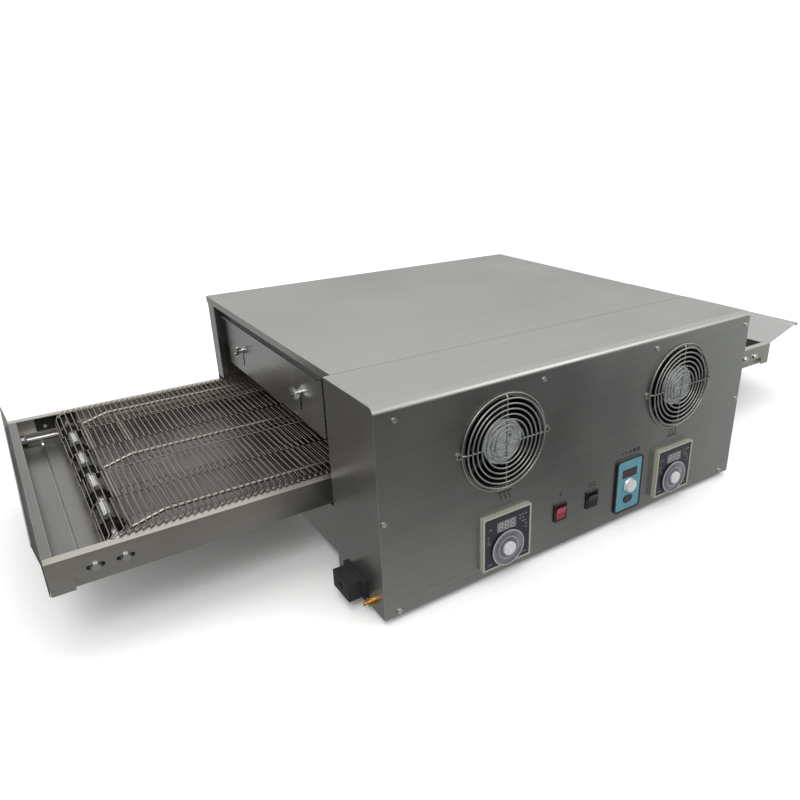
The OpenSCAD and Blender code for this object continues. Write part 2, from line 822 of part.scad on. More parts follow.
// An oval rocker on an upright pin, drawn with one half pressed.
module run_switch() placed() color(black) translate([speed_x, 2, run_z]) rotate([0, 0, 5]) {
    rotate([90, 0, 0]) linear_extrude(6.4) slot(23.6, 7);
    translate([0, 0, -9.5]) cylinder(h = 19, r = 1);
}

module switch_housing(x) translate([x, 0, control_z]) difference() {
    union() {
        rotate([90, 0, 0]) linear_extrude(2.4) rounded(switch_w, switch_h, 2);
        translate([0, 22, 0]) rotate([90, 0, 0]) linear_extrude(22.5) square(switch_back, center = true);
    }
    translate([-10.4, -5, -12.6]) cube([20.8, 17, 25.2]);
    bar_x(-12.3, 12.3, 2, 0, 1.5 + running);
}

module switch_housings() placed() color(black) {
    switch_housing(red_x);
    switch_housing(black_x);
}

// A rocker with a shallow V face on two side pins, drawn with its lower half pressed.
module rocker(x) translate([x, 2, control_z]) {
    rotate([8, 0, 0]) {
        translate([-10, 0, 0]) rotate([90, 0, 90]) linear_extrude(20)
            polygon([[-6.6, 11.2], [-5, 0], [-6.6, -11.2], [3, -8], [4, 0], [3, 8]]);
        bar_x(-12, 12, 0, 0, 1.5);
    }
}

module red_rocker() placed() color([0.48, 0.12, 0.22]) rocker(red_x);
module black_rocker() placed() color(black) rocker(black_x);

// ---------- services ----------

module cable_gland() placed() color(black) translate([0, gland_y, gland_z]) difference() {
    union() {
        translate([-5, -34, -17]) cube([4.9, 68, 34]);
        translate([-gland_out, -26, -15]) cube([gland_out - 4, 52, 30]);
        bar_x(-5, 12, 0, 0, 8);
    }
    bar_x(-gland_out - 1, 13, 0, 0, 6);
    for (y = [-30, 30]) bar_x(-6, 0, y, 0, 1.8);
}

module earth_stud() placed() color(brass) translate([0, earth_y, earth_z]) {
    bar_x(-16, 8, 0, 0, 3);
    translate([-5.5, 0, 0]) rotate([0, 90, 0]) cylinder(h = 5.4, r = 5.8, $fn = 6);
    bar_x(-1.4, -0.1, 0, 0, 7.5);
    bar_x(-8, -6.6, 0, 0, 7);
    translate([2, 0, 0]) rotate([0, 90, 0]) cylinder(h = 5, r = 5.8, $fn = 6);
}

module terminal_block() placed() color([0.75, 0.73, 0.66]) difference() {
    translate([300, 104, sheet + 0.2]) cube([132, 30, 26]);
    for (i = [0:5]) translate([311 + i * 22, 119, 12]) cylinder(h = 20, r = 4);
    for (i = [0:4]) translate([321 + i * 22, 103, 20]) cube([2, 32, 10]);
}

front_cover();
control_chassis();
bulkhead();
top_cover();
rear_panel();
base_pan();
feet();
left_end_plate();
right_end_plate();
left_gate();
right_gate();
wing_nut_left_front();
wing_nut_left_rear();
wing_nut_right_front();
wing_nut_right_rear();
chamber_liner();
chamber_floor();
insulation();
upper_heaters();
lower_heaters();
front_rail();
rear_rail();
shaft_bearings();
take_up_bolts();
belt_rack();
conveyor_belt();
drive_shaft();
drive_sprockets();
left_idler_shaft();
left_idler_sprockets();
right_idler_shaft();
right_idler_sprockets();
left_tray_front();
left_crumb_tray();
exit_shelf();
right_crumb_tray();
gear_motor();
motor_sprocket();
driven_sprocket();
drive_chain();
fan_frame_left();
fan_frame_right();
fan_rotor_left();
fan_rotor_right();
fan_guard_left();
fan_guard_right();
upper_heat_controller();
lower_heat_controller();
upper_heat_dial();
lower_heat_dial();
speed_controller();
speed_knob();
run_switch();
switch_housings();
red_rocker();
black_rocker();
cable_gland();
earth_stud();
panel_screws();
terminal_block();
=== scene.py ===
import math

import bmesh
import bpy
from mathutils import Matrix, Vector


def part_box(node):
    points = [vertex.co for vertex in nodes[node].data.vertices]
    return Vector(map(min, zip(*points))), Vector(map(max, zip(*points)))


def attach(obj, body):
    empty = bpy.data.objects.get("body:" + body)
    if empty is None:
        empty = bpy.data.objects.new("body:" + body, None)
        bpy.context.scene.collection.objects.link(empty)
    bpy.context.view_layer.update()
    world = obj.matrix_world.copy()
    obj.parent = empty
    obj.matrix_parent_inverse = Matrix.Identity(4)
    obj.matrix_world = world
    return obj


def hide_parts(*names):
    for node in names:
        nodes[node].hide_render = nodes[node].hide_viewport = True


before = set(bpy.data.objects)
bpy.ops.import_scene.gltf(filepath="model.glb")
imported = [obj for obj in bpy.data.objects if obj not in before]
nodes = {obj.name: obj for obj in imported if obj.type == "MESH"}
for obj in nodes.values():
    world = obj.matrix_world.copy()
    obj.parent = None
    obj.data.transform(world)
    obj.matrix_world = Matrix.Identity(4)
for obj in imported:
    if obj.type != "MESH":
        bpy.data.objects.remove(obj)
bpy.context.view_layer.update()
MM = 0.001

# Positions below are in mm from the lower left corner of the front sheet:
# x to the right along the belt, y to the back, z up.
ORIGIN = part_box("front_cover")[0].copy()


def at(x, y, z):
    """A point given in mm from the front sheet's corner, in the frame's metres."""
    return ORIGIN + Vector((x, y, z)) * MM


def panel_box(node):
    """A node's low and high corners in mm from the front sheet's corner."""
    low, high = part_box(node)
    return (low - ORIGIN) / MM, (high - ORIGIN) / MM


# ---------- camera, floor and light ----------

FOCAL_PX = 693.5
IMAGE_PX = 800
CENTRE_PX = (457.6, 406.9)
YAW, PITCH, ROLL = 0.60398, 0.39514, -0.011
EYE = at(-373.9, -734.1, 680.0)
SENSOR = 36.0

forward = Vector((math.sin(YAW) * math.cos(PITCH), math.cos(YAW) * math.cos(PITCH), -math.sin(PITCH)))
level = forward.cross(Vector((0, 0, 1))).normalized()
upright = level.cross(forward)
right = level * math.cos(ROLL) + upright * math.sin(ROLL)
up = upright * math.cos(ROLL) - level * math.sin(ROLL)

camera_data = bpy.data.cameras.new("camera")
camera_data.sensor_width = SENSOR
camera_data.lens = FOCAL_PX / IMAGE_PX * SENSOR
camera_data.shift_x = (IMAGE_PX / 2 - CENTRE_PX[0]) / IMAGE_PX
camera_data.shift_y = (CENTRE_PX[1] - IMAGE_PX / 2) / IMAGE_PX
camera_data.clip_start = 0.01
camera_data.clip_end = 200
camera = bpy.data.objects.new("camera", camera_data)
turn = Matrix((right, up, -forward)).transposed().to_4x4()
camera.matrix_world = Matrix.Translation(EYE) @ turn
bpy.context.collection.objects.link(camera)
bpy.context.scene.camera = camera
bpy.context.scene.view_settings.view_transform = "Standard"


def calculate(tree, operation, a, b):
    """A sum in the node tree, of two sockets or numbers."""
    node = tree.nodes.new("ShaderNodeMath")
    node.operation = operation
    for socket, value in zip(node.inputs, (a, b)):
        if isinstance(value, (int, float)):
            socket.default_value = value
        else:
            tree.links.new(value, socket)
    return node.outputs[0]


def grey_ramp(tree, value, stops):
    """A smooth ramp of greys over a value from -1 to 1."""
    lift = tree.nodes.new("ShaderNodeMapRange")
    lift.inputs["From Min"].default_value = -1
    lift.inputs["From Max"].default_value = 1
    tree.links.new(value, lift.inputs["Value"])
    node = tree.nodes.new("ShaderNodeValToRGB")
    ramp = node.color_ramp
    while len(ramp.elements) < len(stops):
        ramp.elements.new(0.5)
    for element, (where, grey) in zip(ramp.elements, stops):
        element.position = (where + 1) / 2
        element.color = (grey, grey, grey * 0.985, 1)
    tree.links.new(lift.outputs[0], node.inputs[0])
    return node.outputs[0]


def smooth_step(tree, value, low, high):
    """Zero at low, one at high and smooth between them."""
    node = tree.nodes.new("ShaderNodeMapRange")
    node.interpolation_type = "SMOOTHSTEP"
    node.inputs["From Min"].default_value = low
    node.inputs["From Max"].default_value = high
    tree.links.new(value, node.inputs["Value"])
    return node.outputs[0]


# The mirrored room's greys by height, from straight down (-1) to straight up (1), in front and behind.
FRONT_SIDE = [(-1.0, 0.55), (-0.64, 0.46), (-0.50, 0.20), (-0.40, 0.02), (-0.12, 0.0), (0.06, 0.15),
              (0.20, 0.48), (0.34, 0.98), (1.0, 1.0)]
REAR_SIDE = [(-1.0, 0.40), (-0.62, 0.24), (-0.47, 0.16), (-0.34, 0.42), (-0.10, 0.34), (0.08, 0.30),
             (0.21, 0.44), (0.34, 0.98), (1.0, 1.0)]
PATCH_COLOUR = (0.62, 0.645, 0.63, 1)
MIRRORED_STRENGTH = 1.12
EVEN_STRENGTH = 1.08


def build_world():
    """Even white light, and for glossy rays alone a grey room with a bright patch far right."""
    world = bpy.data.worlds.new("studio")
    world.use_nodes = True
    tree = world.node_tree
    tree.nodes.clear()
    out = tree.nodes.new("ShaderNodeOutputWorld")
    coords = tree.nodes.new("ShaderNodeTexCoord")
    split = tree.nodes.new("ShaderNodeSeparateXYZ")
    tree.links.new(coords.outputs["Generated"], split.inputs[0])
    front = grey_ramp(tree, split.outputs["Z"], FRONT_SIDE)
    rear = grey_ramp(tree, split.outputs["Z"], REAR_SIDE)
    mix = tree.nodes.new("ShaderNodeMix")
    mix.data_type = "RGBA"
    tree.links.new(smooth_step(tree, split.outputs["Y"], -0.35, 0.35), mix.inputs[0])
    tree.links.new(front, mix.inputs[6])
    tree.links.new(rear, mix.inputs[7])
    beside = smooth_step(tree, split.outputs["X"], 0.66, 0.86)
    below = smooth_step(tree, split.outputs["Z"], 0.16, -0.12)
    patch = calculate(tree, "MULTIPLY", beside, below)
    glow = tree.nodes.new("ShaderNodeMix")
    glow.data_type = "RGBA"
    glow.blend_type = "ADD"
    glow.clamp_result = False
    tree.links.new(patch, glow.inputs[0])
    tree.links.new(mix.outputs[2], glow.inputs[6])
    glow.inputs[7].default_value = PATCH_COLOUR
    mirrored = tree.nodes.new("ShaderNodeBackground")
    mirrored.inputs["Strength"].default_value = MIRRORED_STRENGTH
    tree.links.new(glow.outputs[2], mirrored.inputs["Color"])
    even = tree.nodes.new("ShaderNodeBackground")
    even.inputs["Color"].default_value = (1, 1, 1, 1)
    even.inputs["Strength"].default_value = EVEN_STRENGTH
    rays = tree.nodes.new("ShaderNodeLightPath")
    choose = tree.nodes.new("ShaderNodeMixShader")
    tree.links.new(rays.outputs["Is Glossy Ray"], choose.inputs[0])
    tree.links.new(even.outputs[0], choose.inputs[1])
    tree.links.new(mirrored.outputs[0], choose.inputs[2])
    tree.links.new(choose.outputs[0], out.inputs[0])
    bpy.context.scene.world = world


def soft_light(name, where, aim, size, power):
    """A round area light at one place in metres, turned to another. size: its diameter."""
    data = bpy.data.lights.new(name, "AREA")
    data.shape = "DISK"
    data.size = size
    data.energy = power
    light = bpy.data.objects.new(name, data)
    light.location = where
    light.rotation_euler = (Vector(aim) - Vector(where)).to_track_quat("-Z", "Y").to_euler()
    bpy.context.collection.objects.link(light)
    return light


build_world()
soft_light("key_light", (-1.6, -1.8, 2.6), (0, 0, 0.2), 1.4, 26)
soft_light("fill_light", (1.8, -2.2, 1.8), (0.2, 0, 0.2), 1.6, 12)
overhead = soft_light("overhead_light", (0.1, 0.4, 3.2), (0, 0, 0), 3.0, 40)
overhead.visible_glossy = False


# ---------- materials ----------


def noise(tree, coords, scale, detail=3.0, seed=0.0):
    """A noise texture stretched by a different scale along each axis."""
    mapping = tree.nodes.new("ShaderNodeMapping")
    mapping.inputs["Scale"].default_value = scale
    mapping.inputs["Location"].default_value = (seed, seed * 0.7, seed * 1.3)
    texture = tree.nodes.new("ShaderNodeTexNoise")
    texture.inputs["Scale"].default_value = 1.0
    texture.inputs["Detail"].default_value = detail
    tree.links.new(coords, mapping.inputs["Vector"])
    tree.links.new(mapping.outputs[0], texture.inputs["Vector"])
    return texture.outputs[0]


def spread(tree, value, low, high):
    """Maps the middle of a noise (0.3 to 0.7) onto low..high."""
    node = tree.nodes.new("ShaderNodeMapRange")
    node.clamp = False
    node.inputs["From Min"].default_value = 0.3
    node.inputs["From Max"].default_value = 0.7
    node.inputs["To Min"].default_value = low
    node.inputs["To Max"].default_value = high
    tree.links.new(value, node.inputs["Value"])
    return node.outputs[0]


def edge_mask(tree, radius):
    """One at sharp edges and zero on flat ground."""
    bevel = tree.nodes.new("ShaderNodeBevel")
    bevel.samples = 4
    bevel.inputs["Radius"].default_value = radius
    geometry = tree.nodes.new("ShaderNodeNewGeometry")
    dot = tree.nodes.new("ShaderNodeVectorMath")
    dot.operation = "DOT_PRODUCT"
    tree.links.new(bevel.outputs[0], dot.inputs[0])
    tree.links.new(geometry.outputs["Normal"], dot.inputs[1])
    node = tree.nodes.new("ShaderNodeMapRange")
    node.inputs["From Min"].default_value = 0.99
    node.inputs["From Max"].default_value = 0.80
    tree.links.new(dot.outputs["Value"], node.inputs["Value"])
    return node.outputs[0]


def surface(name, colour, metallic, roughness, along=None, fine=0.05, broad=0.05, fine_scale=700.0,
            broad_scale=4.0, relief=0.15, rough_swing=0.06, edge_highlight=0.0, highlight_colour=(0.7, 0.7, 0.68),
            highlight_radius=0.0012, sockets=None):
    """A procedural surface. along: the axis that a brushed grain runs along, 0, 1 or 2."""
    material = bpy.data.materials.new(name)
    material.use_nodes = True
    tree = material.node_tree
    shader = tree.nodes["Principled BSDF"]
    shader.inputs["Metallic"].default_value = metallic
    for key, value in (sockets or {}).items():
        shader.inputs[key].default_value = value
    coords = tree.nodes.new("ShaderNodeTexCoord").outputs["Object"]
    fine_stretch = [fine_scale] * 3
    streak_stretch = [230.0] * 3
    if along is not None:
        fine_stretch[along] = fine_scale / 90
        streak_stretch[along] = 1.6
    fine_noise = noise(tree, coords, fine_stretch, 2.0, 3.1)
    broad_noise = noise(tree, coords, [broad_scale] * 3, 3.0, 7.7)
    height = fine_noise
    shade = calculate(tree, "ADD", spread(tree, fine_noise, -fine, fine),
                      spread(tree, broad_noise, -broad, broad))
    if along is not None:
        streaks = noise(tree, coords, streak_stretch, 3.0, 11.3)
        shade = calculate(tree, "ADD", shade, spread(tree, streaks, -fine * 0.7, fine * 0.7))
    half = fine * 2 + broad
    ramp = tree.nodes.new("ShaderNodeValToRGB")
    lift = tree.nodes.new("ShaderNodeMapRange")
    lift.inputs["From Min"].default_value = -half
    lift.inputs["From Max"].default_value = half
    tree.links.new(shade, lift.inputs["Value"])
    tree.links.new(lift.outputs[0], ramp.inputs[0])
    for element, factor in zip(ramp.color_ramp.elements, (1 - half, 1 + half)):
        element.color = [min(1.0, c * factor) for c in colour] + [1]
    tint = ramp.outputs[0]
    # Painted highlight: a lighter colour mixed in along sharp edges, as if light caught a rounded edge.
    if edge_highlight > 0:
        mask = calculate(tree, "MULTIPLY", edge_mask(tree, highlight_radius), edge_highlight)
        mix = tree.nodes.new("ShaderNodeMix")
        mix.data_type = "RGBA"
        tree.links.new(mask, mix.inputs[0])
        tree.links.new(tint, mix.inputs[6])
        mix.inputs[7].default_value = (*highlight_colour, 1)
        tint = mix.outputs[2]
    tree.links.new(tint, shader.inputs["Base Color"])
    swing = spread(tree, broad_noise, roughness - rough_swing, roughness + rough_swing)
    tree.links.new(swing, shader.inputs["Roughness"])
    bump = tree.nodes.new("ShaderNodeBump")
    bump.inputs["Strength"].default_value = relief
    bump.inputs["Distance"].default_value = 0.0002
    tree.links.new(height, bump.inputs["Height"])
    tree.links.new(bump.outputs[0], shader.inputs["Normal"])
    return material


# In the finishes below, the lighter colours along sharp edges are a painted highlight.
STEEL = (0.385, 0.385, 0.375)
cover_steel = surface("cover_steel", STEEL, 1, 0.30, along=0, edge_highlight=0.7, relief=0.05,
                      highlight_colour=(0.9, 0.9, 0.88))
side_steel = surface("side_steel", STEEL, 1, 0.30, along=1, edge_highlight=0.7, relief=0.05,
                     highlight_colour=(0.9, 0.9, 0.88))
rail_steel = surface("rail_steel", (0.50, 0.485, 0.44), 1, 0.40, along=0, edge_highlight=0.7, relief=0.05)
plate_steel = surface("plate_steel", (0.42, 0.42, 0.42), 1, 0.31, along=1, edge_highlight=0.5, relief=0.05)
end_steel = surface("end_steel", (0.19, 0.19, 0.187), 1, 0.31, along=1, edge_highlight=0.7, relief=0.05)
tray_steel = surface("tray_steel", (0.235, 0.23, 0.22), 1, 0.38, along=0, broad=0.12, edge_highlight=0.3, relief=0.1)
liner_steel = surface("liner_steel", (0.16, 0.145, 0.13), 1, 0.45, along=0, broad=0.2)
wire_steel = surface("wire_steel", (0.30, 0.275, 0.245), 1, 0.36, fine=0.12, broad=0.10, fine_scale=300,
                     broad_scale=25)
rod_steel = surface("rod_steel", (0.36, 0.34, 0.31), 1, 0.36, fine=0.08, broad=0.06, fine_scale=500)
bright_steel = surface("bright_steel", (0.68, 0.68, 0.67), 1, 0.28, fine=0.06, fine_scale=500)
guard_wire = surface("guard_wire", (0.34, 0.35, 0.33), 0.9, 0.38, fine=0.08, fine_scale=500)
oiled_steel = surface("oiled_steel", (0.030, 0.029, 0.028), 0.6, 0.42, fine=0.2, broad=0.2,
                      fine_scale=350, edge_highlight=0.15)
heater_tube = surface("heater_tube", (0.10, 0.08, 0.065), 0.7, 0.55, fine=0.15, broad=0.3, broad_scale=12)
fibre = surface("fibre", (0.72, 0.70, 0.66), 0, 0.95, fine=0.12, broad=0.08, fine_scale=400, relief=0.9)
motor_paint = surface("motor_paint", (0.22, 0.23, 0.24), 0.2, 0.5, fine=0.05, relief=0.4, edge_highlight=0.3)
black_plastic = surface("black_plastic", (0.009, 0.009, 0.010), 0, 0.38, fine=0.1, broad=0.1,
                        fine_scale=1500, relief=0.3)
rubber = surface("rubber", (0.014, 0.014, 0.014), 0, 0.62, fine=0.15, broad=0.15, fine_scale=1100,
                 relief=0.5)
bezel_grey = surface("bezel_grey", (0.27, 0.27, 0.225), 0, 0.48, fine=0.03, broad=0.03, fine_scale=1600,
                     relief=0.3)
face_black = surface("face_black", (0.020, 0.018, 0.024), 0, 0.30, fine=0.08, broad=0.08,
                     fine_scale=1600, relief=0.1)
face_blue = surface("face_blue", (0.068, 0.20, 0.245), 0, 0.34, fine=0.03, broad=0.04, fine_scale=1500,
                    relief=0.1)
ink = surface("ink", (0.020, 0.020, 0.020), 0, 0.55, fine=0.1, broad=0.1, fine_scale=1800)
pale_print = surface("pale_print", (0.22, 0.21, 0.23), 0, 0.5, fine=0.05, fine_scale=1800)
blue_print = surface("blue_print", (0.035, 0.13, 0.22), 0, 0.45, fine=0.05, fine_scale=1800)
window_grey = surface("window_grey", (0.115, 0.108, 0.112), 0, 0.22, fine=0.04, fine_scale=1500,
                      relief=0.05)
window_dark = surface("window_dark", (0.030, 0.022, 0.024), 0, 0.20, fine=0.05, fine_scale=1500,
                      relief=0.05)
segment_grey = surface("segment_grey", (0.30, 0.29, 0.29), 0, 0.4, fine=0.05, fine_scale=1500)
segment_dark = surface("segment_dark", (0.075, 0.05, 0.05), 0, 0.4, fine=0.05, fine_scale=1500)
# Printed ticks and rings on the heat dials, and a painted highlight along the dial's rim.
dial_print_and_rim_highlight = surface("dial_print_and_rim_highlight", (0.24, 0.24, 0.26), 0, 0.4, fine=0.04, fine_scale=1500)
foil = surface("foil", (0.30, 0.325, 0.315), 0.2, 0.42, fine=0.10, broad=0.14, fine_scale=220,
               broad_scale=60)
foil_print = surface("foil_print", (0.11, 0.12, 0.12), 0.1, 0.5, fine=0.1, fine_scale=1200)
fan_black = surface("fan_black", (0.006, 0.006, 0.006), 0.1, 0.55, fine=0.1, broad=0.1, fine_scale=900,
                    relief=0.3)
# Painted shade: the dark colour of the line in the seam between the two covers.
seam_shade = surface("seam_shade", (0.06, 0.06, 0.058), 0, 0.5, fine=0.1, broad=0.2, fine_scale=900)
red_plastic = surface("red_plastic", (0.26, 0.012, 0.045), 0, 0.26, fine=0.05, broad=0.12, fine_scale=900,
                      broad_scale=90, sockets={"Transmission Weight": 0.25, "Coat Weight": 0.4})
brass = surface("brass", (0.62, 0.36, 0.09), 1, 0.30, fine=0.10, broad=0.16, fine_scale=500,
                broad_scale=70, edge_highlight=0.4,
                highlight_colour=(0.95, 0.75, 0.35))
terminal_plastic = surface("terminal_plastic", (0.62, 0.60, 0.54), 0, 0.5, fine=0.04, fine_scale=900)
floor_paint = surface("floor_paint", (0.93, 0.93, 0.925), 0, 0.85, fine=0.01, broad=0.012, fine_scale=90,
                      broad_scale=1.2, relief=0.02)
dial_grey = surface("dial_grey", (0.085, 0.083, 0.092), 0, 0.30, fine=0.04, broad=0.06, fine_scale=900,
                    edge_highlight=0.55, highlight_colour=(0.34, 0.34, 0.38), highlight_radius=0.0016,
                    sockets={"Coat Weight": 0.5})
knob_silver = surface("knob_silver", (0.56, 0.56, 0.585), 0.35, 0.30, along=1, fine=0.08, broad=0.05,
                      fine_scale=900, edge_highlight=0.4,
                      highlight_colour=(0.95, 0.95, 0.97))

FINISHES = {
    cover_steel: ["front_cover", "top_cover", "rear_panel"],
    side_steel: ["control_chassis", "base_pan"],
    plate_steel: ["left_end_plate", "right_end_plate", "left_gate", "right_gate", "exit_shelf"],
    end_steel: ["left_tray_front"],
    rail_steel: ["front_rail", "rear_rail"],
    tray_steel: ["left_crumb_tray", "right_crumb_tray"],
    liner_steel: ["chamber_liner", "chamber_floor", "bulkhead"],
    rod_steel: ["belt_rack"],
    wire_steel: ["conveyor_belt"],
    bright_steel: ["wing_nut_left_front", "wing_nut_left_rear", "wing_nut_right_front", "wing_nut_right_rear",
                   "left_idler_shaft", "right_idler_shaft", "drive_shaft", "panel_screws", "take_up_bolts"],
    guard_wire: ["fan_guard_left", "fan_guard_right"],
    oiled_steel: ["shaft_bearings", "drive_sprockets", "left_idler_sprockets",
                  "right_idler_sprockets", "driven_sprocket", "motor_sprocket", "drive_chain"],
    heater_tube: ["upper_heaters", "lower_heaters"],
    fibre: ["insulation"],
    motor_paint: ["gear_motor"],
    fan_black: ["fan_frame_left", "fan_frame_right", "fan_rotor_left", "fan_rotor_right"],
    bezel_grey: ["upper_heat_controller", "lower_heat_controller"],
    dial_grey: ["upper_heat_dial", "lower_heat_dial"],
    black_plastic: ["speed_controller", "run_switch", "switch_housings", "black_rocker"],
    knob_silver: ["speed_knob"],
    red_plastic: ["red_rocker"],
    rubber: ["feet", "cable_gland"],
    brass: ["earth_stud"],
    terminal_plastic: ["terminal_block"],
}
for material, names in FINISHES.items():
    for name in names:
        for material_slot in nodes[name].material_slots:
            material_slot.material = material


# ---------- shapes ----------


def finish_piece(name, bm, material, body, replaces=(), bevel=0.0, smooth=False):
    """Turns a bmesh in mm into a piece that rides on a body."""
    for vertex in bm.verts:
        vertex.co = at(*vertex.co)
    bmesh.ops.recalc_face_normals(bm, faces=bm.faces)
    mesh = bpy.data.meshes.new(name)
    bm.to_mesh(mesh)
    bm.free()
    mesh.materials.append(material)
    if smooth:
        mesh.shade_smooth()
    piece = bpy.data.objects.new(name, mesh)
    bpy.context.collection.objects.link(piece)
    if bevel:
        edges = piece.modifiers.new("edges", "BEVEL")
        edges.width = bevel * MM
        edges.segments = 2
        edges.angle_limit = math.radians(50)
    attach(piece, body)
    if replaces:
        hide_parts(*replaces)
    return piece


def tube(bm, points, radius, sides=6, closed=False):
    """A round wire through points in mm."""
    points = [Vector(p) for p in points]
    count = len(points)
    rings = []
    side = None
    for i, point in enumerate(points):
        before = points[i - 1] if closed or i else point
        after = points[(i + 1) % count] if closed or i < count - 1 else point
        along = (after - before).normalized()
        if side is None:
            side = along.orthogonal().normalized()
        side = (side - along * side.dot(along)).normalized()
        other = along.cross(side)
        ring = []
        for k in range(sides):
            angle = math.tau * k / sides
            ring.append(bm.verts.new(point + (side * math.cos(angle) + other * math.sin(angle)) * radius))
        rings.append(ring)
    pairs = list(zip(rings, rings[1:]))
    if closed:
        pairs.append((rings[-1], rings[0]))
    for a, b in pairs:
        for k in range(sides):
            bm.faces.new((a[k], a[(k + 1) % sides], b[(k + 1) % sides], b[k]))
    if not closed:
        bm.faces.new(rings[0][::-1])
        bm.faces.new(rings[-1])


def slab(bm, outline, front, back):
    """A flat shape in the front sheet's plane, from its (x, z) outline, between two y values."""
    near = [bm.verts.new((x, front, z)) for x, z in outline]
    far = [bm.verts.new((x, back, z)) for x, z in outline]
    bm.faces.new(near)
    bm.faces.new(far[::-1])
    for i in range(len(outline)):
        j = (i + 1) % len(outline)
        bm.faces.new((near[j], near[i], far[i], far[j]))


def round_box(x, z, width, height, radius, steps=5):
    """The outline of a rectangle with round corners."""
    points = []
    for quarter in range(4):
        cx = x + (width / 2 - radius) * (1 if quarter in (0, 3) else -1)
        cz = z + (height / 2 - radius) * (1 if quarter in (0, 1) else -1)
        for i in range(steps + 1):
            angle = math.radians(90 * (quarter + i / steps))
            points.append((cx + radius * math.cos(angle), cz + radius * math.sin(angle)))
    return points


def ring_band(bm, x, z, inner, outer, front, back, start=0.0, end=360.0, steps=64):
    """A flat ring or part of one around (x, z)."""
    whole = end - start >= 360
    count = max(2, int(steps * (end - start) / 360))
    loops = []
    for i in range(count if whole else count + 1):
        angle = math.radians(start + (end - start) * i / count)
        c, s = math.cos(angle), math.sin(angle)
        corners = ((inner, front), (outer, front), (outer, back), (inner, back))
        loops.append([bm.verts.new((x + r * c, y, z + r * s)) for r, y in corners])
    pairs = list(zip(loops, loops[1:]))
    if whole:
        pairs.append((loops[-1], loops[0]))
    for a, b in pairs:
        for k in range(4):
            bm.faces.new((a[k], b[k], b[(k + 1) % 4], a[(k + 1) % 4]))
    if not whole:
        bm.faces.new(loops[0])
        bm.faces.new(loops[-1][::-1])


def stroke(bm, points, width, front, back):
    """A flat line of one width through (x, z) points."""
    left, right_side = [], []
    for i, point in enumerate(points):
        a = Vector(points[max(0, i - 1)])
        b = Vector(points[min(len(points) - 1, i + 1)])
        across = (b - a).normalized().orthogonal() * width / 2
        left.append(Vector(point) + across)
        right_side.append(Vector(point) - across)
    for i in range(len(points) - 1):
        slab(bm, [left[i], left[i + 1], right_side[i + 1], right_side[i]], front, back)


def digit(bm, x, z, width, height, segments, front, back):
    """A seven segment digit. segments: which of top, upper right, lower right, bottom, ... are drawn."""
    w, h, t = width / 2, height / 2, width * 0.18
    places = {
        "a": (0, h, True), "g": (0, 0, True), "d": (0, -h, True),
        "b": (w, h / 2, False), "c": (w, -h / 2, False),
        "e": (-w, -h / 2, False), "f": (-w, h / 2, False),
    }
    for key in segments:
        dx, dz, flat = places[key]
        reach = (w if flat else h / 2) - t * 0.6
        ends = [(-reach, 0), (-reach + t / 2, t / 2), (reach - t / 2, t / 2),
                (reach, 0), (reach - t / 2, -t / 2), (-reach + t / 2, -t / 2)]
        slant = 0.10
        outline = []
        for a, b in ends:
            px, pz = (a, b) if flat else (b, a)
            outline.append((x + dx + px + (dz + pz) * slant, z + dz + pz))
        slab(bm, outline, front, back)


# ---------- floor ----------


def build_floor():
    """A wide pale floor with a fine grid, so that it isn't one face."""
    bm = bmesh.new()
    bmesh.ops.create_grid(bm, x_segments=40, y_segments=40, size=60.0)
    mesh = bpy.data.meshes.new("floor")
    bm.to_mesh(mesh)
    bm.free()
    mesh.materials.append(floor_paint)
    floor = bpy.data.objects.new("floor", mesh)
    bpy.context.collection.objects.link(floor)
    floor.visible_glossy = False


build_floor()


# ---------- wire belt ----------

BELT_PITCH = 10.0
BELT_THICK = 1.6
WIRE_R = 1.1
LANES = 5
LANE_EDGE = 1.3
HOOK = 6.0
EDGE_REACH = 16.0


